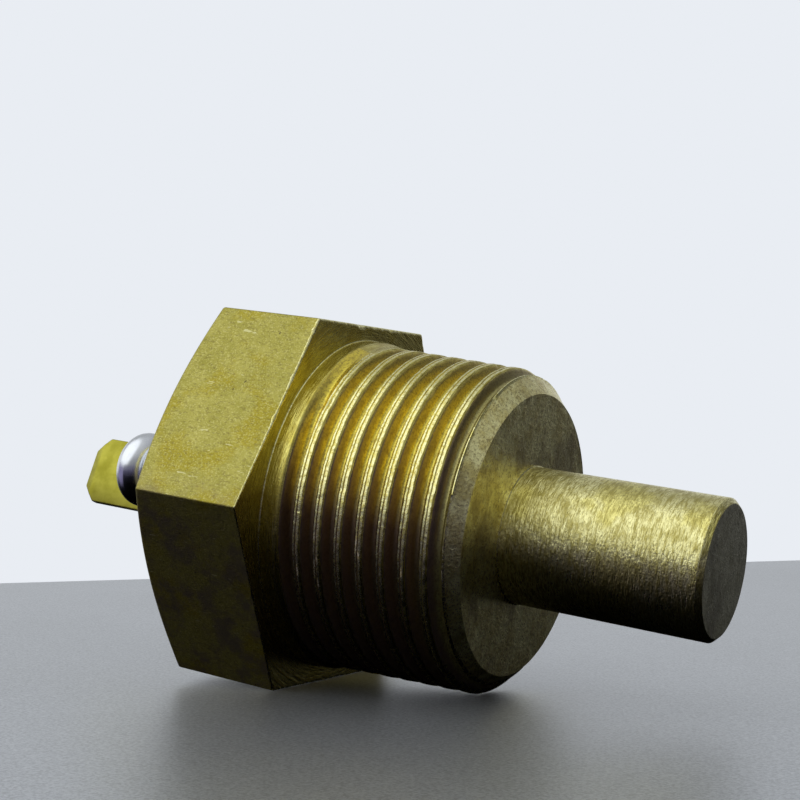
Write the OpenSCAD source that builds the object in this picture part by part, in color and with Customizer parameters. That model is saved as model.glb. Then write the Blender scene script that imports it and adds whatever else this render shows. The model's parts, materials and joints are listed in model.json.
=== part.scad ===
// Snap-disc temperature switch in a brass hexagon plug with a taper thread and a closed sensing stem.
// +X runs along the axis towards the stem, +Z is up, and two flats of the hexagon are level.
// The origin is the centre of the hexagon's front shoulder. All sizes are in millimetres.

/* [Hexagon] */
// Distance across the flats of the spanner hexagon
hex_flats = 30; // [29.5:0.5:32]
// Length of the hexagon along the axis
hex_len = 10.5; // [10.5:0.5:14]
// Angle of the turned chamfer on the rear of the hexagon
hex_chamfer_angle = 20; // [10:1:30]
// Diameter at which the rear chamfer starts
hex_chamfer_d = 28.8; // [27:0.2:29]

/* [Taper thread] */
// Axial distance from one thread crest to the next
thread_pitch = 1.8143; // [1.75:0.0001:1.85]
// Crest diameter of the thread, carried back to the shoulder
thread_d = 27.1; // [26.8:0.1:27.4]
// Loss of diameter for each millimetre towards the stem
thread_taper = 0.0625; // [0.05:0.0025:0.07]
// Depth of the groove below the crest
thread_depth = 1.15; // [0.9:0.05:1.25]
// Width of the flat on each crest
crest_w = 0.55; // [0.2:0.05:0.6]
// Width of the flat at the bottom of each groove
root_w = 0.15; // [0.1:0.05:0.3]
// Distance from the shoulder to the end face of the thread
thread_len = 16.3; // [16:0.1:18]
// Diameter of the plain collar between the shoulder and the thread
collar_d = 27.5; // [27.2:0.1:28]
// Length of the plain collar
collar_len = 2.1; // [1.6:0.1:2.6]
// Diameter of the end face, inside the lead-in chamfer
end_face_d = 22.6; // [22:0.2:23.4]

/* [Stem] */
// Outer diameter of the sensing stem
stem_d = 11; // [10.8:0.1:12]
// Length of the stem beyond the thread's end face
stem_len = 16.4; // [15.5:0.1:20]
// Chamfer round the closed tip
stem_chamfer = 0.4; // [0.2:0.1:0.8]
// Thickness of the closed tip
tip_wall = 1.5; // [1.2:0.1:2]
// Diameter of the hole inside the stem
stem_bore_d = 9; // [8.9:0.1:9.2]

/* [Switch chamber] */
// Diameter of the counterbore that takes the insulating base
seat_d = 22; // [21.8:0.1:22.4]
// Depth of the counterbore from the rear face
seat_depth = 6; // [6:0.5:7]
// Diameter of the chamber inside the thread
chamber_d = 19; // [18.9:0.1:19.6]
// Thickness of brass between the chamber and the thread's end face
end_wall = 3.8; // [3:0.1:4.5]
// Opening left by the rolled rear lip
lip_d = 20; // [19:0.2:20.4]
// Thickness of the rolled rear lip
lip_t = 0.7; // [0.5:0.1:1]

/* [Snap disc and push rod] */
// Diameter of the bimetal snap disc
disc_d = 8.6; // [8:0.1:8.7]
// Thickness of the bimetal strip
disc_t = 0.25; // [0.2:0.05:0.3]
// Height of the disc's dish
disc_dish = 0.35; // [0.25:0.05:0.4]
// Travel of the disc's centre as it snaps, and of the push rod
snap_travel = 0.4; // [0.3:0.05:0.4]
// Diameter of the ceramic push rod
rod_d = 2.5; // [2:0.1:2.8]
// Radial running clearance of the rod in its guide
rod_clearance = 0.05; // [0.02:0.01:0.1]

/* [Contacts] */
// Distance from the rod's axis to the edge that the spring leaf bends about
leaf_reach = 6.3; // [6.1:0.1:6.4]
// Width of the spring leaf
leaf_w = 3.4; // [3:0.1:3.6]
// Thickness of the spring leaf
leaf_t = 0.25; // [0.2:0.05:0.3]
// Diameter of the contact button on the leaf
button_d = 2.8; // [2.4:0.1:3]
// Radius of the contact button's domed face
button_dome = 4; // [3.5:0.5:6]
// Gap left between the closed contacts in the drawn model
contact_slack = 0.02; // [0.02:0.01:0.05]

/* [Rear terminal] */
// Distance from the rear face of the hexagon to the end of the insulating tower
tower_len = 7.8; // [7:0.1:9]
// Diameter of the tower at its root
tower_root_d = 12; // [10:0.5:13]
// Diameter of the tower at its end
tower_end_d = 8; // [7.6:0.2:9]
// Amount by which the terminal sits below the body's axis
terminal_drop = 0.35; // [0:0.05:0.5]
// Angle from the +Y axis to the upright of the terminal blade
terminal_turn = -18; // [-180:1:180]
// Width of the terminal blade
blade_w = 6.3; // [6.2:0.1:6.4]
// Thickness of the terminal blade
blade_t = 0.8; // [0.75:0.05:0.85]
// Distance from the rivet's axis to the middle of the upright blade
blade_offset = 4.2; // [4.1:0.1:5]
// Distance from the tower to the tip of the blade
blade_len = 13; // [11:0.1:14]
// Corner clipped off each side of the blade's tip
blade_clip = 1.4; // [1:0.1:1.8]
// Length of the bevel across the blade's tip
blade_bevel = 0.75; // [0.5:0.05:1]
// Diameter of the rivet's rounded outer head
head_d = 6.75; // [6.4:0.05:6.9]
// Length of the rivet's rounded outer head
head_len = 3.2; // [2.6:0.1:3.4]
// Diameter of the rivet's shank
shank_d = 3; // [2.8:0.1:3.2]

/* [Hidden] */
// Segments on a full turn
$fn = 96;
// Overlap that keeps one cut from ending flush with a face
eps = 0.01;
// Length by which a cut runs past the face it opens
over = 1;
// Small gap between neighbouring pieces that are not fastened by it
gap = 0.05;
hex_corner_r = hex_flats / sqrt(3);
rear_x = -hex_len;
stem_tip_x = thread_len + stem_len;
chamber_end_x = thread_len - end_wall;
seat_floor_x = rear_x + seat_depth;
bore_end_x = stem_tip_x - tip_wall;
lip_x = rear_x + lip_t;

// Thread
thread_lead = (crest_r(thread_len) * 2 - end_face_d) / 2;
grooves = floor((thread_len - thread_lead - collar_len + crest_w) / thread_pitch);
function crest_r(x) = (thread_d - x * thread_taper) / 2;

// Snap disc, its retainer and the rod's guide
retainer_len = 1.2;
retainer_wall = 1.1;
disc_front_x = bore_end_x - gap;
disc_cap_r = (pow(disc_d / 2, 2) + pow(disc_dish, 2)) / (2 * disc_dish);
retainer_x = disc_front_x - disc_dish - disc_t - snap_travel - gap;
guide_front_x = retainer_x - retainer_len;
guide_flange_r = 5.9;
guide_flange_len = 0.6;
rod_front_x = disc_front_x - disc_t - gap;
rod_chamfer = 0.4;

// Ground ring, spring leaf and contacts
ground_ring_len = 1;
ground_ring_bore_d = 12;
sleeve_wall = 0.8;
leaf_front_x = chamber_end_x - ground_ring_len;
leaf_root_end = 8.1;
leaf_slit = 0.05;
leaf_tip = 2.2;
leaf_turn = snap_travel / leaf_reach * 180 / PI;
clamp_t = 0.5;
leaf_rivet_d = 1;
leaf_rivet_head_d = 1.5;
leaf_rivet_head_t = 0.35;
leaf_rivet_spread = 0.85;
leaf_rivet_reach = 7.2;
button_nose_d = 2;
button_nose_t = 0.3;
button_nose_tip_d = 0.8;
button_shank_d = 1.2;
button_t = 0.6;
button_x = leaf_front_x - leaf_t - button_t;
rod_rear_x = leaf_front_x + button_nose_t + gap;
fixed_face_x = button_x - snap_travel - contact_slack;
fixed_contact_t = 0.55;
fixed_contact_d = 3.2;

// Insulating base, seals and rivet
inner_head_t = 1;
inner_head_d = 4.8;
inner_washer_t = 0.5;
inner_washer_d = 6.4;
boss_d = 9;
boss_x = fixed_face_x - fixed_contact_t - inner_head_t - inner_washer_t;
piston_x = 3;
piston_d = chamber_d - 2 * gap;
flange_d = seat_d - 2 * gap;
gasket_t = 0.5;
crimp_washer_t = 0.5;
flange_front_x = seat_floor_x - gasket_t;
flange_rear_x = lip_x + crimp_washer_t;
seal_cord_d = 1.5;
seal_x = -1.5;
seal_groove_w = 1.9;
potting_depth = 1;
potting_outer_d = 19;
potting_inner_d = tower_root_d + 0.6;
tower_x = rear_x - tower_len;
post_seal_cord_d = 1;
post_seal_pocket = 1.3;
post_seal_pocket_d = shank_d + 2 * post_seal_cord_d + 4 * gap;
shank_hole_d = shank_d + 0.1;
foot_x = tower_x - blade_t;
rivet_washer_t = 1;
rivet_washer_d = 6.6;
rivet_washer_round = 0.45;
head_x = foot_x - rivet_washer_t;
head_neck_d = 4.6;
head_neck_len = 0.3;
head_front_x = head_x - 2 * gap;
head_rear_x = head_front_x - head_len;
head_dimple_d = 2.4;
head_dimple_depth = 0.8;
blade_tip_x = tower_x - blade_len;
bend_r = 0.5;

// A shape drawn upwards on the Z axis, laid along +X.
module along_x() {
    rotate([0, 90, 0]) children();
}

// A solid of revolution about X, from points given as [radius, x].
module turned(points) {
    along_x() rotate_extrude() polygon(points);
}

// A round tube about X between two stations.
module tube(x_low, x_high, outer_d, inner_d) {
    difference() {
        translate([x_low, 0, 0]) along_x() cylinder(h = x_high - x_low, d = outer_d);
        translate([x_low - eps, 0, 0]) along_x() cylinder(h = x_high - x_low + 2 * eps, d = inner_d);
    }
}

// A round bar about X between two stations.
module bar(x_low, x_high, d) {
    translate([x_low, 0, 0]) along_x() cylinder(h = x_high - x_low, d = d);
}

// A ring of round cord about X.
module cord_ring(x, mean_r, cord_d) {
    translate([x, 0, 0]) along_x() rotate_extrude() translate([mean_r, 0]) circle(d = cord_d, $fn = 32);
}

// Everything that is centred on the terminal rivet.
module on_rivet_axis() {
    translate([0, 0, -terminal_drop]) children();
}

// Spanner hexagon with a turned chamfer on its rear corners.
module hexagon() {
    chamfer_len = (hex_corner_r - hex_chamfer_d / 2) * tan(hex_chamfer_angle);
    intersection() {
        translate([rear_x, 0, 0]) along_x() rotate([0, 0, 30])
            cylinder(h = hex_len, r = hex_corner_r, $fn = 6);
        turned([
            [0, rear_x],
            [hex_chamfer_d / 2, rear_x],
            [hex_corner_r, rear_x + chamfer_len],
            [hex_corner_r + over, rear_x + chamfer_len],
            [hex_corner_r + over, 0],
            [0, 0]
        ]);
    }
}

// One groove of the thread, as points [radius, x] that start at the x of the crest before it.
function groove(x) = let (slope_w = (thread_pitch - crest_w - root_w) / 2) [
    [crest_r(x), x],
    [crest_r(x) - thread_depth, x + slope_w],
    [crest_r(x) - thread_depth, x + slope_w + root_w],
    [crest_r(x + thread_pitch - crest_w), x + thread_pitch - crest_w]
];

// Collar, thread and stem, turned from the same bar as the hexagon.
module plug_front() {
    turned(concat(
        [[0, -over], [collar_d / 2, -over], [collar_d / 2, collar_len]],
        [for (i = [0 : grooves - 1]) each groove(collar_len + i * thread_pitch)],
        [
            [crest_r(thread_len - thread_lead), thread_len - thread_lead],
            [end_face_d / 2, thread_len],
            [stem_d / 2, thread_len],
            [stem_d / 2, stem_tip_x - stem_chamfer],
            [stem_d / 2 - stem_chamfer, stem_tip_x],
            [0, stem_tip_x]
        ]
    ));
}

// Brass body, bored from the rear, with its rear lip rolled over the base.
module body() {
    color("goldenrod") difference() {
        union() {
            hexagon();
            plug_front();
        }
        bar(rear_x - over, lip_x + eps, lip_d);
        bar(lip_x, seat_floor_x, seat_d);
        bar(seat_floor_x - eps, chamber_end_x, chamber_d);
        bar(chamber_end_x - eps, bore_end_x, stem_bore_d);
    }
}

// Dished bimetal disc, lying loose in the end of the stem.
module bimetal_disc() {
    color("silver") intersection() {
        difference() {
            translate([disc_front_x - disc_cap_r, 0, 0]) sphere(r = disc_cap_r);
            translate([disc_front_x - disc_cap_r, 0, 0]) sphere(r = disc_cap_r - disc_t);
        }
        bar(retainer_x, bore_end_x, disc_d);
    }
}

// Brass ring that keeps the disc in its pocket.
module disc_retainer() {
    color("gold") tube(guide_front_x, retainer_x, stem_bore_d - gap, stem_bore_d - 2 * retainer_wall);
}

// Ceramic bush that fills the stem and guides the rod.
module rod_guide() {
    color("white") difference() {
        union() {
            bar(chamber_end_x - gap, guide_front_x, stem_bore_d - 2 * gap);
            bar(chamber_end_x - guide_flange_len, chamber_end_x, 2 * guide_flange_r);
        }
        bar(chamber_end_x - over, guide_front_x + eps, rod_d + 2 * rod_clearance);
    }
}

// Ceramic push rod with both ends chamfered.
module push_rod() {
    rod_r = rod_d / 2;
    color("ivory") turned([
        [0, rod_rear_x],
        [rod_r - rod_chamfer, rod_rear_x],
        [rod_r, rod_rear_x + rod_chamfer],
        [rod_r, rod_front_x - rod_chamfer],
        [rod_r - rod_chamfer, rod_front_x],
        [0, rod_front_x]
    ]);
}

// Ring that carries the earth side of the switch into the body.
module ground_ring() {
    color("gold") difference() {
        tube(leaf_front_x, chamber_end_x, piston_d, ground_ring_bore_d);
        leaf_rivet_holes(leaf_front_x - eps, chamber_end_x + eps);
    }
}

// The two rivet positions at the leaf's root.
module at_leaf_rivets() {
    for (side = [-1, 1]) translate([0, side * leaf_rivet_spread, -leaf_rivet_reach]) children();
}

// Holes for the two small rivets.
module leaf_rivet_holes(x_low, x_high) {
    at_leaf_rivets() bar(x_low, x_high, leaf_rivet_d + gap);
}

// A plate standing square to the axis, between two heights.
module leaf_plate(x_rear, thickness, z_low, z_high) {
    translate([x_rear, -leaf_w / 2, z_low]) cube([thickness, leaf_w, z_high - z_low]);
}

// Clamped end of the spring leaf.
module leaf_root() {
    color("orange") difference() {
        leaf_plate(leaf_front_x - leaf_t, leaf_t, -leaf_root_end, -leaf_reach - leaf_slit);
        leaf_rivet_holes(leaf_front_x - over, leaf_front_x + eps);
    }
}

// Steel plate that spreads the rivets' clamping force.
module leaf_clamp() {
    color("gray") difference() {
        leaf_plate(leaf_front_x - leaf_t - clamp_t, clamp_t, -leaf_root_end, -leaf_reach - leaf_slit);
        leaf_rivet_holes(leaf_front_x - leaf_t - clamp_t - over, leaf_front_x);
    }
}

// Two small rivets through the ring, the leaf's root and the clamp plate.
module leaf_rivets() {
    clamp_rear_x = leaf_front_x - leaf_t - clamp_t;
    color("gold") at_leaf_rivets() {
        bar(clamp_rear_x - leaf_rivet_head_t, clamp_rear_x, leaf_rivet_head_d);
        bar(clamp_rear_x - eps, chamber_end_x - gap, leaf_rivet_d);
    }
}

// Free part of the copper-alloy spring leaf.
module contact_leaf() {
    color("orange") difference() {
        union() {
            leaf_plate(leaf_front_x - leaf_t, leaf_t, -leaf_reach + leaf_slit, 0);
            intersection() {
                leaf_plate(leaf_front_x - leaf_t, leaf_t, -eps, leaf_tip);
                bar(leaf_front_x - over, leaf_front_x + over, 2 * leaf_tip);
            }
        }
        bar(leaf_front_x - over, leaf_front_x + over, button_shank_d + gap);
    }
}

// Silver contact button, riveted through the leaf, with a tapered nose that can tilt on the rod's end.
module moving_contact() {
    color("silver") union() {
        intersection() {
            bar(button_x - eps, leaf_front_x - leaf_t, button_d);
            translate([button_x + button_dome, 0, 0]) sphere(r = button_dome);
        }
        bar(leaf_front_x - leaf_t - eps, leaf_front_x + eps, button_shank_d);
        translate([leaf_front_x, 0, 0]) along_x()
            cylinder(h = button_nose_t, d1 = button_nose_d, d2 = button_nose_tip_d);
    }
}

// Sleeve that holds the ground ring against the end of the chamber.
module spacer_sleeve() {
    color("gold") tube(piston_x, leaf_front_x, piston_d, piston_d - 2 * sleeve_wall);
}

// Silver face brazed on the rivet's inner head.
module fixed_contact() {
    color("silver") on_rivet_axis() bar(fixed_face_x - fixed_contact_t, fixed_face_x, fixed_contact_d);
}

// Washer under the rivet's inner head.
module inner_washer() {
    color("gold") on_rivet_axis() tube(boss_x, boss_x + inner_washer_t, inner_washer_d, shank_hole_d);
}

// Moulded insulating base: piston, flange, front boss and rear tower.
module terminal_base() {
    color("saddlebrown") difference() {
        union() {
            bar(flange_rear_x, flange_front_x, flange_d);
            bar(flange_front_x - eps, piston_x, piston_d);
            on_rivet_axis() bar(piston_x - eps, boss_x, boss_d);
            on_rivet_axis() translate([tower_x, 0, 0]) along_x()
                cylinder(h = flange_rear_x - tower_x + eps, d1 = tower_end_d, d2 = tower_root_d);
        }
        on_rivet_axis() bar(tower_x - over, boss_x + over, shank_hole_d);
        on_rivet_axis() bar(tower_x - over, tower_x + post_seal_pocket, post_seal_pocket_d);
        translate([seal_x, 0, 0]) seal_groove();
        potting_ring(flange_rear_x - over);
    }
}

// Groove round the piston for its seal.
module seal_groove() {
    tube(-seal_groove_w / 2, seal_groove_w / 2, piston_d + over, chamber_d - 2 * seal_cord_d);
}

// Ring-shaped moat round the tower, open to the rear.
module potting_ring(x_low) {
    difference() {
        bar(x_low, flange_rear_x + potting_depth, potting_outer_d);
        on_rivet_axis() bar(x_low - over, flange_rear_x + potting_depth + over, potting_inner_d);
    }
}

// Rubber ring between the base and the chamber wall.
module base_seal() {
    color("black") cord_ring(seal_x, (chamber_d - seal_cord_d) / 2 - gap / 2, seal_cord_d - gap);
}

// Fibre gasket under the base's flange.
module base_gasket() {
    color("firebrick") tube(flange_front_x, seat_floor_x, flange_d, piston_d + 4 * gap);
}

// Steel washer between the base and the rolled lip.
module crimp_washer() {
    color("lightgray") tube(lip_x, flange_rear_x, flange_d, potting_outer_d);
}

// Hard resin that fills the moat.
module sealing_compound() {
    color("darkred") potting_ring(flange_rear_x + gap);
}

// Small rubber ring round the rivet in the end of the tower.
module post_seal() {
    mean_r = (shank_d + post_seal_cord_d) / 2 + gap;
    x = tower_x + post_seal_cord_d / 2 + gap;
    color("black") on_rivet_axis() cord_ring(x, mean_r, post_seal_cord_d - gap);
}

// Side view of the bent terminal: foot, bend and upright, drawn in X and Y.
module terminal_profile() {
    inner_y = blade_offset - blade_t / 2;
    outer_r = bend_r + blade_t;
    translate([foot_x, -blade_w / 2]) square([blade_t, blade_w / 2 + inner_y - bend_r]);
    intersection() {
        translate([foot_x - bend_r, inner_y - bend_r]) difference() {
            circle(r = outer_r);
            circle(r = bend_r);
        }
        translate([foot_x - bend_r, inner_y - bend_r]) square(outer_r);
    }
    difference() {
        translate([blade_tip_x, inner_y]) square([foot_x - bend_r - blade_tip_x, blade_t]);
        for (side = [0, 1])
            translate([blade_tip_x, inner_y + side * blade_t]) mirror([0, side]) tip_bevel();
    }
}

// Sliver cut from one face of the blade's tip.
module tip_bevel() {
    polygon([
        [-over, -over],
        [blade_bevel, -over],
        [blade_bevel, 0],
        [0, blade_t / 4],
        [-over, blade_t / 4]
    ]);
}

// Brass terminal: a riveted foot and a blade that stands up beside the rivet.
module terminal_blade() {
    color("gold") on_rivet_axis() rotate([terminal_turn, 0, 0]) difference() {
        intersection() {
            translate([0, 0, -blade_w / 2]) linear_extrude(blade_w) terminal_profile();
            union() {
                bar(foot_x - over, tower_x + over, blade_w);
                translate([0, blade_offset + over, 0]) rotate([90, 0, 0])
                    linear_extrude(blade_offset + over) blade_outline();
            }
        }
        bar(foot_x - over, tower_x + over, shank_hole_d);
    }
}

// Front view of the blade, with both corners of the tip clipped.
module blade_outline() {
    half_w = blade_w / 2;
    polygon([
        [tower_x + over, -half_w],
        [blade_tip_x + blade_clip, -half_w],
        [blade_tip_x, -half_w + blade_clip],
        [blade_tip_x, half_w - blade_clip],
        [blade_tip_x + blade_clip, half_w],
        [tower_x + over, half_w]
    ]);
}

// Plated washer between the terminal's foot and the rivet's head.
module rivet_washer() {
    color("lightgray") on_rivet_axis() intersection() {
        tube(head_x, foot_x, rivet_washer_d, shank_hole_d);
        round_rimmed_disc(head_x, foot_x, rivet_washer_d, rivet_washer_round);
    }
}

// A disc with both rims rounded, turned from arcs.
module round_rimmed_disc(x_low, x_high, d, r) {
    translate([x_low, 0, 0]) along_x() rotate_extrude() {
        square([d / 2 - r, x_high - x_low]);
        translate([0, r]) square([d / 2, x_high - x_low - 2 * r]);
        translate([d / 2 - r, r]) circle(r = r, $fn = 32);
        translate([d / 2 - r, x_high - x_low - r]) circle(r = r, $fn = 32);
    }
}

// Plated rivet: inner head, shank and rounded outer head with a dimple.
module terminal_rivet() {
    color("lightgray") on_rivet_axis() difference() {
        union() {
            bar(boss_x + inner_washer_t, fixed_face_x - fixed_contact_t, inner_head_d);
            bar(head_x - eps, boss_x + inner_washer_t + eps, shank_d);
            bar(head_x - head_neck_len, head_x, head_neck_d);
            round_rimmed_disc(head_rear_x, head_front_x, head_d, head_len / 2 - eps);
        }
        bar(head_rear_x - over, head_rear_x + head_dimple_depth, head_dimple_d);
    }
}

body();
bimetal_disc();
disc_retainer();
rod_guide();
push_rod();
ground_ring();
leaf_root();
leaf_clamp();
leaf_rivets();
contact_leaf();
moving_contact();
spacer_sleeve();
fixed_contact();
inner_washer();
terminal_base();
base_seal();
base_gasket();
crimp_washer();
sealing_compound();
post_seal();
terminal_blade();
rivet_washer();
terminal_rivet();
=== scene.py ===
# Looks of the snap-disc temperature switch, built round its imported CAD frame.
# Lengths are in millimetres up to the point where a mesh or an object is made.
import json
import math

import bmesh
import bpy
from mathutils import Matrix, Vector, noise


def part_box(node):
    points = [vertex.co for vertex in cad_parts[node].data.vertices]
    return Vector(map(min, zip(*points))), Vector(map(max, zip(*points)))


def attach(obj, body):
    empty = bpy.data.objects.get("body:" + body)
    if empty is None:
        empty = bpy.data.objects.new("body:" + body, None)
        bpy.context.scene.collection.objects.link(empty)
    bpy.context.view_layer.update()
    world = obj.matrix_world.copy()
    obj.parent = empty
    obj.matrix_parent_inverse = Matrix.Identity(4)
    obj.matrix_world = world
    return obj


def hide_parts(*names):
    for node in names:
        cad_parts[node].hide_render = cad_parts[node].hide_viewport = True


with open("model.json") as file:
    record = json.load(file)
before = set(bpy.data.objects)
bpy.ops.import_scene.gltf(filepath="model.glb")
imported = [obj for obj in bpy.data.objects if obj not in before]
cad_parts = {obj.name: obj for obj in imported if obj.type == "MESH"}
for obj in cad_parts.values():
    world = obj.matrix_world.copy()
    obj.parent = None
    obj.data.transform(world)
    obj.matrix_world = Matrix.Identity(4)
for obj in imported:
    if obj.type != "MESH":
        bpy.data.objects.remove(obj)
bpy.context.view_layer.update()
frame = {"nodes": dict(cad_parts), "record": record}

MM = 0.001
TURN = 2 * math.pi

# Sizes of the brass body, as the CAD has them. The overall ones come from the frame.
body_low, body_high = (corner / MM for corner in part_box("body"))
REAR_X = body_low.x
TIP_X = body_high.x
HALF_FLATS = body_high.z
CHAMFER_R = 14.4
CHAMFER_SLOPE = math.tan(math.radians(20))
COLLAR_R = 13.75
COLLAR_START = 0.3
COLLAR_SLOPE_START = 1.3
COLLAR_SLOPE_LEN = 1.0
THREAD_END = 16.3
END_FACE_R = 11.3
STEM_R = 5.5
STEM_CHAMFER = 0.4
LIP_R = 10
LIP_T = 0.7
SEAT_R = 11
SEAT_X = -4.5
CHAMBER_R = 9.5
CHAMBER_END = 12.5
BORE_R = 4.5
BORE_END = 31.2

# Rounding of edges, and the narrow bead that the tool left at the stem's root.
HEX_EDGE_ROUND = 0.2
FRONT_EDGE_ROUND = 0.18
COLLAR_CORNER_ROUND = 0.09
BEAD_H = 0.1
BEAD_W = 0.14
BEAD_SLOPE = 0.06
BLADE_EDGE_ROUND = 0.16

# Right-hand thread. CREST_X is the middle of a crest on the +Y side, and CREST_R is the crests' radius at
# the shoulder. The run-out is in coils. CONE_BURR is how far above the lead-in cone the crests leave a burr,
# and NICKED_DEPTH is how far below the crests' tops the nicks reach.
PITCH = 1.8143
CREST_R = 13.55
TAPER = 1 / 32
CREST_HALF = 0.27
FLANK_ANGLE = math.radians(27.5)
ROOT_ROUND = 0.3
FLANK_STEPS = 5
ROOT_STEPS = 5
CREST_X = 0.45
RUNOUT_START = 0.8
RUNOUT_LEN = 0.16
CONE_BURR = 0.35
NICKED_DEPTH = 0.2


# ---- Mesh helpers ----

def on_circle(x, r, angle):
    """The point at radius r and at an angle from +Y towards +Z."""
    return Vector((x, r * math.cos(angle), r * math.sin(angle)))


def eased(corners, steps=3, margin=0.1):
    """Rounds the corners of a profile.

    Each corner is (x, r, rounding radius, material of what follows), and may add the rounding's own
    material. Returns points (x, r, material), with a point beside each rounding that keeps the flats flat.
    """
    points = []
    for i, (x, r, radius, material, *edge) in enumerate(corners):
        here = Vector((x, r))
        if radius == 0 or i in (0, len(corners) - 1):
            points.append((x, r, material))
            continue
        before = (Vector(corners[i - 1][:2]) - here).normalized()
        after = (Vector(corners[i + 1][:2]) - here).normalized()
        half = before.angle(after) / 2
        reach = radius / math.tan(half)
        centre = here + (before + after).normalized() * (radius / math.sin(half))
        start = here + before * reach
        sweep = (start - centre).angle_signed(here + after * reach - centre)
        room = margin + reach
        previous = corners[i - 1][3]
        points.append((*(here + before * room), previous))
        for k in range(steps + 1):
            turn = Matrix.Rotation(-sweep * k / steps, 2)
            point = centre + turn @ (start - centre)
            rounding = edge[0] if edge else previous
            points.append((*point, material if k == steps else rounding))
        points.append((*(here + after * room), material))
    return points


def skin(bm, columns):
    """Joins neighbouring columns of (point, material) with faces."""
    made = [[bm.verts.new(point) for point, _ in column] for column in columns]
    for j in range(len(made) - 1):
        for i in range(len(made[j]) - 1):
            face = bm.faces.new((made[j][i], made[j][i + 1], made[j + 1][i + 1], made[j + 1][i]))
            face.material_index = columns[j][i][1]


def closed_object(bm, name, materials, sharp_degrees=32):
    """Welds a mesh built in millimetres and makes it a smooth object in metres."""
    bmesh.ops.remove_doubles(bm, verts=bm.verts, dist=2e-4)
    bmesh.ops.dissolve_degenerate(bm, edges=bm.edges, dist=1e-5)
    bmesh.ops.recalc_face_normals(bm, faces=bm.faces)
    bmesh.ops.scale(bm, verts=bm.verts, vec=(MM, MM, MM))
    mesh = bpy.data.meshes.new(name)
    bm.to_mesh(mesh)
    bm.free()
    for material in materials:
        mesh.materials.append(material)
    mesh.shade_smooth()
    mesh.set_sharp_from_angle(angle=math.radians(sharp_degrees))
    made = bpy.data.objects.new(name, mesh)
    bpy.context.scene.collection.objects.link(made)
    return made


def chips(point, scale, threshold):
    """How deep a chip or nick is at a point, from 0 to 1, the same on each run."""
    return max(0.0, noise.noise(point * scale) - threshold) / (1 - threshold)


# ---- Brass body ----

# Places of the materials in the body's list.
TURNED, COLLAR, GROOVE, WORN, FLATS, FACES, TIP, BORE = range(8)


def column_angles():
    """Angles round the axis, closer together at the six corners of the hexagon, closed at a full turn."""
    side = 60
    beside_corner = [0, 0.06, 0.13, 0.22, 0.34, 0.5, 0.75]
    between = [0.6 + 0.9 * k for k in range(1, 65)]
    offsets = beside_corner + between + [side - k for k in reversed(beside_corner[1:])]
    angles = [math.radians(side * corner + offset) for corner in range(6) for offset in offsets]
    return angles + [TURN]


def hexagon_radius(angle, rounding):
    """Distance from the axis to the hexagon's side, with its long edges rounded."""
    from_corner = abs((angle + TURN / 12) % (TURN / 6) - TURN / 12)
    centre = (HALF_FLATS - rounding) / math.cos(TURN / 12)
    tangent = math.atan2(rounding / 2, centre + rounding * math.cos(TURN / 12))
    if from_corner > tangent:
        return HALF_FLATS / math.cos(TURN / 12 - from_corner)
    across = centre * math.sin(from_corner)
    return centre * math.cos(from_corner) + math.sqrt(rounding**2 - across**2)


def hexagon_column(angle):
    """Profile from the collar's front edge back over the hexagon and down the bore."""
    r = hexagon_radius(angle, HEX_EDGE_ROUND)
    edge = on_circle(0, r, angle)
    # The front edge is chipped, and less worn on the underside.
    wear = 0.4 + 0.6 * max(0.0, math.sin(angle))
    chip = 0.4 * chips(edge, 1.1, 0.2) + 0.2 * chips(edge, 3, 0.0)
    chamfer_x = REAR_X + (r - CHAMFER_R) * CHAMFER_SLOPE
    profile = eased([
        (COLLAR_START, COLLAR_R, 0, COLLAR),
        (0, COLLAR_R, COLLAR_CORNER_ROUND, COLLAR, WORN),
        (0, r, (FRONT_EDGE_ROUND + chip) * wear, FLATS, WORN),
        (chamfer_x, r, 0.3, FLATS),
        (REAR_X, CHAMFER_R, 0.15, TURNED),
        (REAR_X, LIP_R, 0.2, TURNED),
        (REAR_X + LIP_T, LIP_R, 0, BORE),
        (REAR_X + LIP_T, SEAT_R, 0, BORE),
        (SEAT_X, SEAT_R, 0, BORE),
        (SEAT_X, CHAMBER_R, 0, BORE),
        (CHAMBER_END, CHAMBER_R, 0, BORE),
        (CHAMBER_END, BORE_R, 0, BORE),
        (BORE_END, BORE_R, 0, BORE),
        (BORE_END, 0, 0, BORE),
    ])
    return [(on_circle(x, y, angle), material) for x, y, material in profile]


def stem_column(angle):
    """Profile from the closed tip back to the edge of the thread's end face."""
    wear = 0.05 * noise.noise(on_circle(TIP_X, 2, angle))
    profile = eased([
        (TIP_X, 0, 0, TIP),
        (TIP_X, STEM_R - STEM_CHAMFER - wear, 0.05, TURNED, WORN),
        (TIP_X - STEM_CHAMFER, STEM_R, 0.08, TURNED, WORN),
        (THREAD_END + BEAD_W + BEAD_SLOPE, STEM_R, 0, WORN),
        (THREAD_END + BEAD_W, STEM_R + BEAD_H, 0, WORN),
        (THREAD_END, STEM_R + BEAD_H, 0, FACES),
        (THREAD_END, END_FACE_R, 0, FACES),
    ])
    return [(on_circle(x, y, angle), material) for x, y, material in profile]


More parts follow.
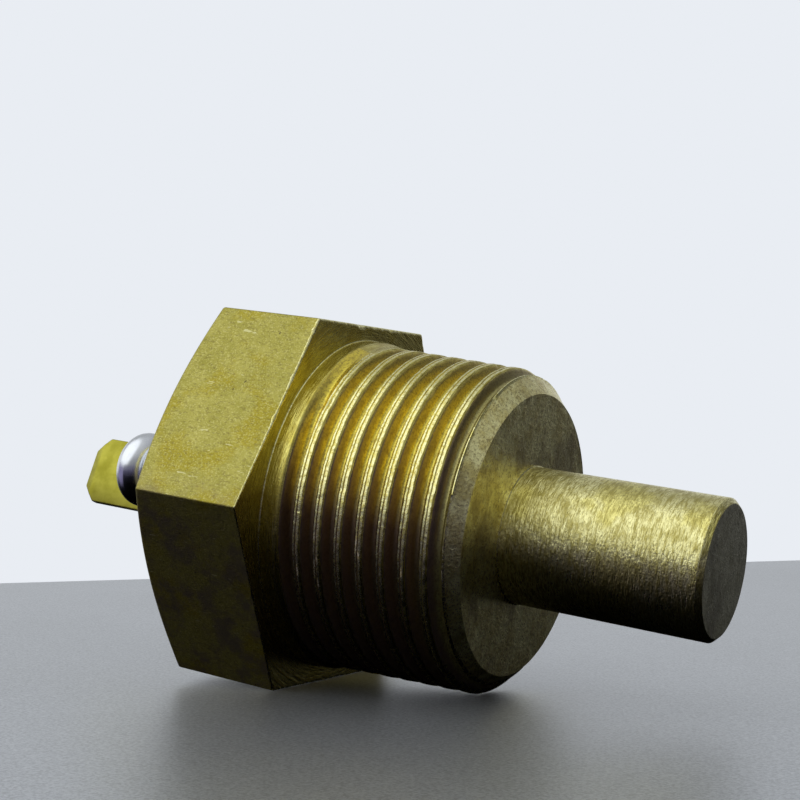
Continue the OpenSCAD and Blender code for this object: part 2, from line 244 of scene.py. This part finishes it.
def groove_side():
    """One side of a groove down to its rounded root, as (distance, depth) from the crest's edge."""
    arc_w = ROOT_ROUND * math.cos(FLANK_ANGLE)
    flank_w = PITCH / 2 - CREST_HALF - arc_w
    flank_h = flank_w / math.tan(FLANK_ANGLE)
    points = [(flank_w * k / FLANK_STEPS, flank_h * k / FLANK_STEPS) for k in range(1, FLANK_STEPS + 1)]
    for k in range(1, ROOT_STEPS + 1):
        lean = (math.pi / 2 - FLANK_ANGLE) * (1 - k / ROOT_STEPS)
        dip = ROOT_ROUND * (math.cos(lean) - math.sin(FLANK_ANGLE))
        points.append((flank_w + arc_w - ROOT_ROUND * math.sin(lean), flank_h + dip))
    return points


def crest_profile():
    """One pitch of the thread: (distance from the middle of the crest, height above it, material)."""
    side = groove_side()
    rear = [(-CREST_HALF - along, -depth, GROOVE) for along, depth in reversed(side)]
    front = [(CREST_HALF + along, -depth, GROOVE) for along, depth in side[:-1]]
    # From the rear: a bright edge, a fine pressed line, the bright flat, and a front edge that rolls over.
    crest = [
        (-CREST_HALF - 0.02, -0.05, WORN),
        (-CREST_HALF, 0, WORN),
        (-CREST_HALF + 0.14, 0, GROOVE),
        (-CREST_HALF + 0.18, -0.045, GROOVE),
        (-CREST_HALF + 0.22, -0.045, COLLAR),
        (-CREST_HALF + 0.26, -0.01, WORN),
        (0.13, 0, WORN),
        (CREST_HALF - 0.06, -0.005, COLLAR),
        (CREST_HALF, -0.05, COLLAR),
        (CREST_HALF + 0.04, -0.12, GROOVE),
    ]
    return rear + crest + front


def smooth_step(value, start, length):
    """A share from 0 to 1 that rises smoothly over a length after a start."""
    share = min(1.0, max(0.0, (value - start) / length))
    return share * share * (3 - 2 * share)


def thread_point(angle, turn, along, height, material):
    """A point (x, r, material) of the thread, nicked along the crests and cut by the lead-in cone.

    The first groove fades in beside the collar, where the tool was drawn back.
    """
    coil = turn + angle / TURN
    x = CREST_X + PITCH * coil + along
    collar_share = 1 - smooth_step(x, COLLAR_SLOPE_START, COLLAR_SLOPE_LEN)
    crest_r = CREST_R - x * TAPER
    depth_share = smooth_step(coil + math.copysign(0.5, along), RUNOUT_START, RUNOUT_LEN)
    r = crest_r + (COLLAR_R - crest_r) * collar_share + height * depth_share
    if turn > 0 and height > -NICKED_DEPTH:
        spot = on_circle(x, r, angle)
        other_spot = spot + Vector((40, 0, 0))
        r -= 0.1 * chips(spot, 0.8, 0.4) + 0.04 * chips(other_spot, 2.6, 0.2)
        x += 0.03 * noise.noise(spot * 1.7)
    # What lies behind the run-out, and the first crest, still look like the collar.
    if depth_share == 0 or turn < 1 and abs(along) < CREST_HALF:
        material = COLLAR
    cone_r = END_FACE_R + THREAD_END - x
    above_cone = r - cone_r
    if above_cone > CONE_BURR:
        return x, cone_r, FACES
    if above_cone > 0:
        return x, cone_r + above_cone / 3, WORN
    return x, r, material


def thread_column(angle):
    """Profile of the thread, from the collar to the edge of the end face."""
    turns = range(-1, math.ceil(THREAD_END / PITCH) + 1)
    column = []
    for turn in turns:
        for step in crest_profile():
            x, r, material = thread_point(angle, turn, *step)
            if x <= COLLAR_START:
                x, r = COLLAR_START, COLLAR_R
            elif x >= THREAD_END:
                x, r = THREAD_END, END_FACE_R
            column.append((on_circle(x, r, angle), material))
    return column


def brass_body(materials):
    """The body in one closed skin: stem, end face, helical thread, collar, hexagon and bore."""
    bm = bmesh.new()
    angles = column_angles()
    for column in (stem_column, thread_column, hexagon_column):
        skin(bm, [column(angle) for angle in angles])
    made = closed_object(bm, "body_brass", materials)
    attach(made, "housing")
    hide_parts("body")


# ---- Softened copies of CAD nodes ----

def softened(node, body, width, material):
    """A copy of a CAD node with its sharp edges rounded over, standing for that node."""
    bm = bmesh.new()
    bm.from_mesh(frame["nodes"][node].data)
    bmesh.ops.scale(bm, verts=bm.verts, vec=(1 / MM, 1 / MM, 1 / MM))
    bmesh.ops.remove_doubles(bm, verts=bm.verts, dist=1e-3)
    bmesh.ops.dissolve_limit(bm, angle_limit=math.radians(0.4), verts=bm.verts, edges=bm.edges)
    sharp = [e for e in bm.edges if len(e.link_faces) == 2 and e.calc_face_angle() > math.radians(10)]
    bmesh.ops.bevel(
        bm, geom=sharp, offset=width, segments=2, profile=0.5, affect="EDGES", clamp_overlap=True,
    )
    made = closed_object(bm, node + "_soft", [material])
    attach(made, body)
    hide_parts(node)


# ---- Materials ----

class Nodes:
    """Adds and joins shader nodes, with less writing."""

    def __init__(self, tree):
        self.tree = tree
        tree.nodes.clear()

    def add(self, kind, inputs=None, **settings):
        """Adds a node. An input is a value or another node's socket."""
        node = self.tree.nodes.new(kind)
        for key, value in settings.items():
            setattr(node, key, value)
        for key, value in (inputs or {}).items():
            if isinstance(value, bpy.types.NodeSocket):
                self.tree.links.new(value, node.inputs[key])
            else:
                node.inputs[key].default_value = value
        return node

    def stretched(self, scale):
        """Object coordinates, scaled differently along each axis, in features per metre."""
        place = self.add("ShaderNodeTexCoord").outputs["Object"]
        return self.add("ShaderNodeMapping", {"Vector": place, "Scale": scale}).outputs["Vector"]

    def noise(self, scale, detail=4, roughness=0.55, offset=0.0):
        """Noise from 0 to 1 over object coordinates. Each offset gives another pattern."""
        vector = self.stretched(scale)
        if offset:
            vector = self.vector("ADD", vector, (offset, offset, offset))
        inputs = {"Vector": vector, "Scale": 1.0, "Detail": detail, "Roughness": roughness}
        return self.add("ShaderNodeTexNoise", inputs).outputs["Fac"]

    def turned(self, lines, arc, detail=3, roughness=0.65, offset=0.0):
        """Noise in rings round the X axis: changes per metre across the rings, per radian along them."""
        place = self.add("ShaderNodeTexCoord").outputs["Object"]
        across = self.vector("MULTIPLY", place, (0, 1, 1))
        radius = self.add("ShaderNodeVectorMath", {0: across}, operation="LENGTH").outputs["Value"]
        around = self.vector("MULTIPLY", self.vector("NORMALIZE", across), (arc, arc, arc))
        along = self.vector("MULTIPLY", place, (lines, 0, 0))
        inputs = {
            "Vector": self.vector("ADD", along, around),
            "W": self.math("MULTIPLY_ADD", radius, lines, offset),
            "Scale": 1.0, "Detail": detail, "Roughness": roughness,
        }
        return self.add("ShaderNodeTexNoise", inputs, noise_dimensions="4D").outputs["Fac"]

    def ramp(self, value, stops, smooth=True):
        """A colour or a grey from a value, by (position, colour or level) stops."""
        node = self.add("ShaderNodeValToRGB", {"Fac": value})
        node.color_ramp.interpolation = "EASE" if smooth else "LINEAR"
        elements = node.color_ramp.elements
        while len(elements) < len(stops):
            elements.new(0.5)
        for element, (position, colour) in zip(elements, stops):
            element.position = position
            element.color = (*colour, 1) if isinstance(colour, tuple) else (colour, colour, colour, 1)
        return node.outputs["Color"]

    def mix(self, share, a, b, blend="MIX"):
        """Mixes two colours by a share."""
        node = self.add("ShaderNodeMix", data_type="RGBA", blend_type=blend)
        for socket, value in ((node.inputs[0], share), (node.inputs[6], a), (node.inputs[7], b)):
            if isinstance(value, bpy.types.NodeSocket):
                self.tree.links.new(value, socket)
            elif isinstance(value, tuple):
                socket.default_value = (*value, 1)
            else:
                socket.default_value = value
        return node.outputs[2]

    def math(self, operation, a, b=0.0, c=0.0, clamp=False):
        """A number worked out from others."""
        node = self.add("ShaderNodeMath", {0: a, 1: b, 2: c}, operation=operation, use_clamp=clamp)
        return node.outputs[0]

    def vector(self, operation, a, b=(0, 0, 0)):
        """A vector worked out from others."""
        return self.add("ShaderNodeVectorMath", {0: a, 1: b}, operation=operation).outputs[0]

    def share(self, value, start, end, low=0.0, high=1.0):
        """A level that goes from low to high while a value goes from start to end."""
        return self.add("ShaderNodeMapRange", {0: value, 1: start, 2: end, 3: low, 4: high}).outputs[0]

    def place(self):
        """The x, y and z of object coordinates, in metres."""
        where = self.add("ShaderNodeTexCoord").outputs["Object"]
        return self.add("ShaderNodeSeparateXYZ", {"Vector": where}).outputs


def surface(name, build):
    """A material from build(nodes), which returns the shader's inputs, a bump height and its depth."""
    material = bpy.data.materials.new(name)
    material.use_nodes = True
    nodes = Nodes(material.node_tree)
    inputs, height, depth = build(nodes)
    bump = {"Height": height, "Distance": depth * MM, "Strength": 1.0}
    inputs["Normal"] = nodes.add("ShaderNodeBump", bump).outputs["Normal"]
    shader = nodes.add("ShaderNodeBsdfPrincipled", inputs)
    nodes.add("ShaderNodeOutputMaterial", {"Surface": shader.outputs[0]})
    return material


def turned_brass(name, light, dark, stained, roughness, lines, streak, depth):
    """Brass turned on a lathe: fine broken rings round the axis, dull patches and yellow stains."""
    def build(n):
        rings = n.turned(lines, 5)
        fine = n.turned(lines * 2.3, 12, detail=2, offset=7.0)
        patches = n.noise((700, 700, 700), detail=6, roughness=0.7, offset=3.0)
        stain = n.noise((220, 220, 220), detail=4, offset=12.0)
        grain = n.noise((5200, 5200, 5200), detail=2, offset=5.0)
        colour = n.mix(n.ramp(stain, [(0.52, 0.0), (0.62, 0.5)]), light, stained)
        colour = n.mix(n.ramp(patches, [(0.44, 0.0), (0.66, 0.6)]), colour, dark)
        colour = n.mix(n.ramp(rings, [(0.46, 0.0), (0.62, streak)]), colour, dark)
        colour = n.mix(n.ramp(fine, [(0.48, 0.0), (0.64, streak)]), colour, dark)
        shine = n.math("MULTIPLY_ADD", rings, 0.25, roughness - 0.12)
        shine = n.math("MULTIPLY_ADD", patches, 0.12, shine, clamp=True)
        height = n.math("MULTIPLY_ADD", rings, 0.6, n.math("MULTIPLY", fine, 0.4))
        height = n.math("MULTIPLY_ADD", grain, 0.25, height)
        return {"Base Color": colour, "Metallic": 1.0, "Roughness": shine}, height, depth
    return surface(name, build)


def groove_brass(name):
    """The thread's grooves: gold, with painted shade on the flanks that face the tip, heaviest low down, and
    painted shade over the lower half.
    """
    # The second colour on this line is painted shade for the grooves' lower half.
    gold, painted_low_shade, last_grooves = (0.92, 0.74, 0.1), (0.28, 0.19, 0.1), (0.48, 0.43, 0.15)
    # The first colour on this line is painted shade, used on the flanks that face the tip and on the lower
    # hexagon flats.
    painted_shade, dirt, tool_marks = (0.23, 0.16, 0.11), (0.14, 0.09, 0.05), (0.26, 0.18, 0.06)

    def build(n):
        x, y, z = n.place()
        around = n.math("FRACT", n.math("DIVIDE", n.math("ARCTAN2", z, y), TURN))
        coils = n.math("MULTIPLY_ADD", x, 1 / (PITCH * MM), -CREST_X / PITCH)
        past_crest = n.math("SUBTRACT", coils, around)
        groove = n.math("ADD", n.math("FLOOR", past_crest), 0.5)
        run_in = n.share(n.math("ADD", groove, around), RUNOUT_START, RUNOUT_START + RUNOUT_LEN)
        wander = n.noise((900, 900, 900), detail=4, roughness=0.65)
        phase = n.math("MULTIPLY_ADD", wander, 0.16, n.math("FRACT", past_crest))
        # Painted shade on the flanks that face the tip, heavier low down.
        flank = n.ramp(phase, [(0.1, 0.8), (0.28, 1.0), (0.38, 0.9), (0.5, 0.05)], smooth=False)
        lower_shade_share = n.share(z, 13 * MM, 4 * MM, 0.35, 1.0)
        flank_shade = n.math("MULTIPLY", n.math("MULTIPLY", flank, lower_shade_share), run_in)
        marks = n.turned(3600, 14, detail=4)
        grain = n.noise((6000, 6000, 6000), detail=2, offset=5.0)
        # Painted shade: the grooves darken towards and below the axis.
        colour = n.mix(n.share(z, 4.5 * MM, 0.0), gold, painted_low_shade)
        colour = n.mix(n.share(x, 12.8 * MM, 14.4 * MM), colour, last_grooves)
        colour = n.mix(flank_shade, colour, painted_shade)
        colour = n.mix(n.ramp(grain, [(0.46, 0.0), (0.64, 0.4)]), colour, dirt)
        colour = n.mix(n.ramp(marks, [(0.48, 0.0), (0.64, 0.4)]), colour, tool_marks)
        shine = n.math("MULTIPLY_ADD", marks, 0.25, 0.2)
        height = n.math("MULTIPLY_ADD", marks, 0.6, n.math("MULTIPLY", grain, 0.3))
        return {"Base Color": colour, "Metallic": 0.94, "Roughness": shine}, height, 0.03
    return surface(name, build)


def worn_brass(name):
    """Thread crests and edges, rubbed bright, with small dull nicks."""
    bright, yellow, dull = (1.0, 0.95, 0.48), (0.86, 0.76, 0.22), (0.4, 0.31, 0.07)

    def build(n):
        rub = n.noise((2600, 2600, 2600), detail=4, roughness=0.65)
        fine = n.noise((7000, 4200, 4200), detail=2, offset=6.0)
        colour = n.mix(n.ramp(rub, [(0.42, 0.0), (0.68, 1.0)]), bright, yellow)
        colour = n.mix(n.ramp(fine, [(0.52, 0.0), (0.66, 0.7)]), colour, dull)
        shine = n.math("MULTIPLY_ADD", rub, 0.25, 0.14)
        height = n.math("MULTIPLY_ADD", rub, 0.7, n.math("MULTIPLY", fine, 0.3))
        return {"Base Color": colour, "Metallic": 1.0, "Roughness": shine}, height, 0.03
    return surface(name, build)


def flat_brass(name):
    """Drawn hexagon bar: fine grain, tarnish, yellow stains, painted shade on the lower flats, dark specks,
    pale nicks.
    """
    brass, tarnish, yellow_stain = (0.46, 0.41, 0.095), (0.37, 0.33, 0.06), (0.4, 0.32, 0.02)
    # The third colour on this line is painted shade for the lower flats.
    draw_lines, bright_grain, painted_shade = (0.22, 0.18, 0.05), (0.62, 0.57, 0.19), (0.27, 0.22, 0.13)
    dark_speck, pale_nick = (0.09, 0.07, 0.04), (0.8, 0.77, 0.4)

    def build(n):
        grain = n.noise((6200, 7200, 7200), detail=3, roughness=0.7, offset=4.0)
        draw = n.noise((2600, 6800, 6800), detail=3, roughness=0.7)
        mottle = n.noise((500, 500, 500), detail=7, roughness=0.72, offset=2.0)
        blotch = n.noise((170, 210, 210), detail=4, offset=9.0)
        colour = n.mix(n.ramp(mottle, [(0.34, 0.0), (0.68, 1.0)]), brass, tarnish)
        colour = n.mix(n.ramp(blotch, [(0.49, 0.0), (0.6, 0.7)]), colour, yellow_stain)
        colour = n.mix(n.ramp(draw, [(0.36, 0.6), (0.5, 0.0)]), colour, draw_lines)
        colour = n.mix(n.ramp(grain, [(0.5, 0.0), (0.64, 0.7)]), colour, bright_grain)
        # Painted shade: the lower flats darken in smeared patches.
        lower_flats_shade = n.share(n.place()["Z"], 2 * MM, -2 * MM)
        shade_patches = n.noise((330, 330, 330), detail=6, roughness=0.7, offset=21.0)
        shade_patches = n.ramp(shade_patches, [(0.4, 0.0), (0.62, 0.9)])
        colour = n.mix(n.math("MULTIPLY", lower_flats_shade, shade_patches), colour, painted_shade)
        specks = n.ramp(n.noise((1500, 1900, 1900), detail=4, offset=6.0), [(0.68, 0.0), (0.74, 0.8)])
        colour = n.mix(specks, colour, dark_speck)
        nicks = n.ramp(n.noise((500, 1700, 2600), detail=3, offset=15.0), [(0.69, 0.0), (0.72, 0.6)])
        colour = n.mix(nicks, colour, pale_nick)
        shine = n.math("MULTIPLY_ADD", mottle, 0.2, 0.33)
        height = n.math("MULTIPLY_ADD", draw, 0.4, n.math("MULTIPLY", grain, 0.6))
        height = n.math("MULTIPLY_ADD", mottle, 0.4, height)
        return {"Base Color": colour, "Metallic": 0.97, "Roughness": shine}, height, 0.05
    return surface(name, build)


def dull_face(name, light, dark, stained, metal):
    """End faces and the lead-in cone: matt and mottled, with dark stains."""
    def build(n):
        mottle = n.noise((650, 650, 650), detail=6, roughness=0.7)
        stain = n.noise((210, 210, 210), detail=4, offset=8.0)
        grain = n.noise((4200, 4200, 4200), detail=3, roughness=0.7, offset=4.0)
        rings = n.turned(2600, 9, offset=2.0)
        colour = n.mix(n.ramp(mottle, [(0.38, 0.0), (0.62, 1.0)]), light, dark)
        colour = n.mix(n.ramp(rings, [(0.5, 0.0), (0.66, 0.35)]), colour, dark)
        colour = n.mix(n.ramp(stain, [(0.52, 0.0), (0.66, 0.6)]), colour, stained)
        colour = n.mix(n.ramp(grain, [(0.48, 0.0), (0.64, 0.6)]), colour, stained)
        shine = n.math("MULTIPLY_ADD", grain, 0.2, 0.2)
        height = n.math("MULTIPLY_ADD", mottle, 0.8, n.math("MULTIPLY", grain, 0.4))
        height = n.math("MULTIPLY_ADD", rings, 0.3, height)
        return {"Base Color": colour, "Metallic": metal, "Roughness": shine}, height, 0.08
    return surface(name, build)


def plain_metal(name, light, dark, roughness, grain_scale, depth):
    """Sheet or plated metal: soft tone changes, fine grain and faint wear."""
    def build(n):
        tone = n.noise((500, 500, 500), detail=4)
        grain = n.noise(grain_scale, detail=3, offset=2.0)
        colour = n.mix(n.ramp(tone, [(0.32, 0.0), (0.7, 1.0)]), light, dark)
        colour = n.mix(n.ramp(grain, [(0.55, 0.0), (0.85, 0.4)]), colour, dark)
        shine = n.math("MULTIPLY_ADD", grain, 0.16, roughness - 0.05)
        height = n.math("MULTIPLY_ADD", tone, 0.4, n.math("MULTIPLY", grain, 0.6))
        return {"Base Color": colour, "Metallic": 1.0, "Roughness": shine}, height, depth
    return surface(name, build)


def moulded(name, light, dark, roughness, grain_scale, depth):
    """Plastic, rubber, ceramic, fibre or resin: speckled colour and a fine uneven surface."""
    def build(n):
        tone = n.noise((350, 350, 350), detail=4)
        grain = n.noise(grain_scale, detail=3, offset=2.0)
        colour = n.mix(n.ramp(tone, [(0.3, 0.0), (0.7, 1.0)]), light, dark)
        colour = n.mix(n.ramp(grain, [(0.6, 0.0), (0.8, 0.5)]), colour, dark)
        shine = n.math("MULTIPLY_ADD", tone, 0.2, roughness - 0.1)
        height = n.math("MULTIPLY_ADD", grain, 0.7, n.math("MULTIPLY", tone, 0.5))
        return {"Base Color": colour, "Roughness": shine}, height, depth
    return surface(name, build)


# Grain scales along x, y and z, in features per metre.
EVEN = (2500, 2500, 2500)
ROLLED = (600, 4000, 600)
COARSE = (900, 900, 900)
FIBROUS = (900, 5000, 5000)

stem_brass = turned_brass(
    "stem_brass", (1.0, 0.94, 0.45), (0.45, 0.38, 0.09), (0.88, 0.77, 0.14),
    roughness=0.24, lines=4600, streak=0.75, depth=0.12,
)
collar_brass = turned_brass(
    "collar_brass", (0.8, 0.71, 0.2), (0.46, 0.36, 0.055), (0.7, 0.55, 0.04),
    roughness=0.2, lines=3600, streak=0.6, depth=0.07,
)
inner_brass = plain_metal("inner_brass", (0.8, 0.64, 0.28), (0.62, 0.47, 0.17), 0.3, EVEN, 0.01)
blade_brass = plain_metal("blade_brass", (0.55, 0.51, 0.07), (0.36, 0.33, 0.03), 0.36, ROLLED, 0.012)
nickel = plain_metal("nickel", (0.86, 0.88, 0.9), (0.74, 0.76, 0.79), 0.2, EVEN, 0.004)

by_slot = {
    "brass_inner": inner_brass,
    "nickel_plate": nickel,
    "bimetal": plain_metal("bimetal", (0.62, 0.6, 0.56), (0.47, 0.44, 0.4), 0.34, ROLLED, 0.01),
    "steel": plain_metal("zinc_steel", (0.66, 0.67, 0.68), (0.5, 0.51, 0.52), 0.36, EVEN, 0.012),
    "spring_copper": plain_metal("spring_copper", (0.83, 0.48, 0.27), (0.65, 0.34, 0.17), 0.3, ROLLED, 0.01),
    "silver": plain_metal("contact_silver", (0.88, 0.87, 0.84), (0.72, 0.7, 0.66), 0.28, EVEN, 0.01),
    "ceramic": moulded("steatite", (0.86, 0.84, 0.79), (0.74, 0.71, 0.65), 0.62, EVEN, 0.03),
    "phenolic": moulded("phenolic", (0.17, 0.085, 0.045), (0.1, 0.05, 0.03), 0.36, EVEN, 0.02),
    "resin": moulded("cast_resin", (0.22, 0.025, 0.018), (0.12, 0.012, 0.01), 0.22, COARSE, 0.05),
    "fibre": moulded("red_fibre", (0.42, 0.08, 0.045), (0.27, 0.05, 0.03), 0.75, FIBROUS, 0.04),
    "rubber": moulded("nitrile", (0.035, 0.035, 0.035), (0.018, 0.018, 0.018), 0.6, EVEN, 0.02),
    "brass": stem_brass,
    "terminal_brass": blade_brass,
}


# ---- Object ----

# The body's materials, in the order TURNED, COLLAR, GROOVE, WORN, FLATS, FACES, TIP, BORE.
brass_body([
    stem_brass, collar_brass, groove_brass("groove_brass"), worn_brass("worn_brass"),
    flat_brass("hexagon_brass"),
    dull_face("end_face_brass", (1.0, 0.94, 0.46), (0.72, 0.62, 0.23), (0.26, 0.19, 0.08), metal=0.97),
    dull_face("tip_face_brass", (0.42, 0.4, 0.27), (0.28, 0.26, 0.15), (0.12, 0.1, 0.05), metal=0.75),
    inner_brass,
])
softened("terminal_blade", "housing", BLADE_EDGE_ROUND, blade_brass)

for part in frame["record"]["subparts"]:
    cad_object = frame["nodes"][part["node"]]
    cad_object.data.materials.clear()
    cad_object.data.materials.append(by_slot[part["material_slot"]])


# ---- Camera, at the photograph's viewing angle ----

CAMERA_AIM = Vector((0, 6.12, 9.02))
CAMERA_DISTANCE = 139.87
CAMERA_AZIMUTH = math.radians(28.85)
CAMERA_ELEVATION = math.radians(1.54)
CAMERA_ROLL = math.radians(7.3)
CAMERA_LENS = 71.83

back = Vector((
    math.sin(CAMERA_AZIMUTH) * math.cos(CAMERA_ELEVATION),
    -math.cos(CAMERA_AZIMUTH) * math.cos(CAMERA_ELEVATION),
    math.sin(CAMERA_ELEVATION),
))
camera = bpy.data.objects.new("camera", bpy.data.cameras.new("camera"))
camera.data.lens = CAMERA_LENS
camera.data.sensor_width = 36
camera.data.clip_start = 0.005
camera.data.clip_end = 10
camera.location = (CAMERA_AIM + back * CAMERA_DISTANCE) * MM
camera.rotation_mode = "QUATERNION"
roll = Matrix.Rotation(CAMERA_ROLL, 3, "Z").to_quaternion()
camera.rotation_quaternion = back.to_track_quat("Z", "Y") @ roll
bpy.context.scene.collection.objects.link(camera)
bpy.context.scene.camera = camera


# ---- Floor and backdrop. The switch rests nose down, on the hexagon and the thread ----

# FLOOR_YAW turns the board about its normal, and FLOOR_FAR is the distance to its far edge.
FLOOR_TILT = math.radians(7.32)
FLOOR_YAW = math.radians(31.3)
FLOOR_FAR = 104.6
FLOOR_REACH = 260
FLOOR_T = 8
FLOOR_EDGE_ROUND = 0.5
BACKDROP_R = 2000

floor_up = Vector((-math.sin(FLOOR_TILT), 0, math.cos(FLOOR_TILT)))
floor_touch = Vector((0, 0, -HALF_FLATS))
away = (-back - floor_up * floor_up.dot(-back)).normalized()
right = away.cross(floor_up)
floor_side = right * math.cos(FLOOR_YAW) + away * math.sin(FLOOR_YAW)
floor_depth = away * math.cos(FLOOR_YAW) - right * math.sin(FLOOR_YAW)


def board():
    """A board with slightly rounded edges, whose far edge is the line behind the switch."""
    bm = bmesh.new()
    corners = []
    for height in (0, -FLOOR_T):
        for side, depth in ((-1, -FLOOR_REACH), (1, -FLOOR_REACH), (1, FLOOR_FAR), (-1, FLOOR_FAR)):
            place = floor_touch + floor_side * side * FLOOR_REACH + floor_depth * depth
            corners.append(bm.verts.new(place + floor_up * height))
    bm.faces.new(corners[:4])
    bm.faces.new(corners[4:])
    for i in range(4):
        k = (i + 1) % 4
        bm.faces.new((corners[i], corners[k], corners[k + 4], corners[i + 4]))
    bmesh.ops.bevel(bm, geom=bm.edges, offset=FLOOR_EDGE_ROUND, segments=3, profile=0.5, affect="EDGES")
    return closed_object(bm, "floor", [floor_surface()])


def floor_surface():
    """Grey board with a faint sheen and a fine grain of dark and pale dots."""
    def build(n):
        cloud = n.noise((25, 25, 25), detail=3)
        grain = n.noise((4200, 4200, 4200), detail=4, roughness=0.7, offset=4.0)
        colour = n.mix(n.ramp(cloud, [(0.3, 0.0), (0.7, 1.0)]), (0.56, 0.58, 0.605), (0.52, 0.54, 0.56))
        colour = n.mix(n.ramp(grain, [(0.4, 0.5), (0.5, 0.0)]), colour, (0.3, 0.31, 0.325))
        colour = n.mix(n.ramp(grain, [(0.51, 0.0), (0.62, 0.5)]), colour, (0.75, 0.77, 0.79))
        shine = n.math("MULTIPLY_ADD", grain, 0.1, 0.34)
        return {"Base Color": colour, "Metallic": 0.85, "Roughness": shine}, grain, 0.02
    return surface("floor", build)


def backdrop():
    """A pale wall all round, far off, that only the camera sees."""
    bm = bmesh.new()
    bmesh.ops.create_icosphere(bm, subdivisions=4, radius=BACKDROP_R)
    material = bpy.data.materials.new("backdrop")
    material.use_nodes = True
    nodes = Nodes(material.node_tree)
    glow = nodes.add("ShaderNodeEmission", {"Color": (0.815, 0.847, 0.896, 1), "Strength": 1.0})
    nodes.add("ShaderNodeOutputMaterial", {"Surface": glow.outputs[0]})
    made = closed_object(bm, "backdrop", [material])
    made.visible_diffuse = False
    made.visible_glossy = False
    made.visible_transmission = False
    made.visible_shadow = False
    return made


floor = board()
floor.visible_glossy = False
backdrop()


# ---- Light: a soft studio, bright from the left and from above, dark low down and on the right ----

def towards(azimuth, elevation):
    """A direction by its azimuth to the right of the view and its elevation above the floor, in degrees."""
    azimuth, elevation = math.radians(azimuth), math.radians(elevation)
    level = away * math.cos(azimuth) + right * math.sin(azimuth)
    return level * math.cos(elevation) + floor_up * math.sin(elevation)


def studio_light():
    """Paints the light on the world: one level by height in front, another behind, and soft lobes."""
    world = bpy.data.worlds.new("studio")
    world.use_nodes = True
    bpy.context.scene.world = world
    n = Nodes(world.node_tree)
    direction = n.add("ShaderNodeTexCoord").outputs["Generated"]

    def along(axis):
        node = n.add("ShaderNodeVectorMath", {0: direction, 1: axis}, operation="DOT_PRODUCT")
        return node.outputs["Value"]

    def spread(value, low, high):
        limits = {0: value, 1: low, 2: high}
        return n.add("ShaderNodeMapRange", limits, interpolation_type="SMOOTHSTEP").outputs[0]

    height = n.math("MULTIPLY_ADD", along(floor_up), 0.5, 0.5)
    front = n.ramp(height, [
        (0.2, 0.0), (0.29, (0.003, 0.0026, 0.0045)), (0.37, (0.025, 0.022, 0.038)),
        (0.46, (0.085, 0.075, 0.125)), (0.53, (0.165, 0.155, 0.21)),
        (0.64, 0.3), (0.85, 0.5), (1.0, 0.6),
    ])
    behind = n.ramp(height, [
        (0.36, 0.0), (0.47, 0.3), (0.5, 0.8), (0.62, 0.8), (0.72, 0.45), (0.9, 0.45), (1.0, 0.6),
    ])
    light = n.mix(spread(along(away), -0.4, 0.4), front, behind)
    shade = n.mix(1.0, light, (0.15, 0.145, 0.15), "MULTIPLY")
    light = n.mix(spread(along(towards(75, 0)), 0.6, 0.95), light, shade)
    low_left = spread(along(towards(-85, -5)), 0.88, 0.98)
    light = n.mix(low_left, light, (0.24, 0.21, 0.35))
    lamp = n.math("MULTIPLY", spread(along(towards(-104, 46)), 0.68, 0.86), spread(height, 0.5, 0.66))
    light = n.mix(lamp, light, (1.2, 1.2, 1.2))
    light = n.mix(1.0, light, (0.93, 0.96, 1.0), "MULTIPLY")
    background = n.add("ShaderNodeBackground", {"Color": light, "Strength": 1.0})
    n.add("ShaderNodeOutputWorld", {"Surface": background.outputs[0]})


studio_light()
bpy.context.scene.view_settings.view_transform = "Standard"
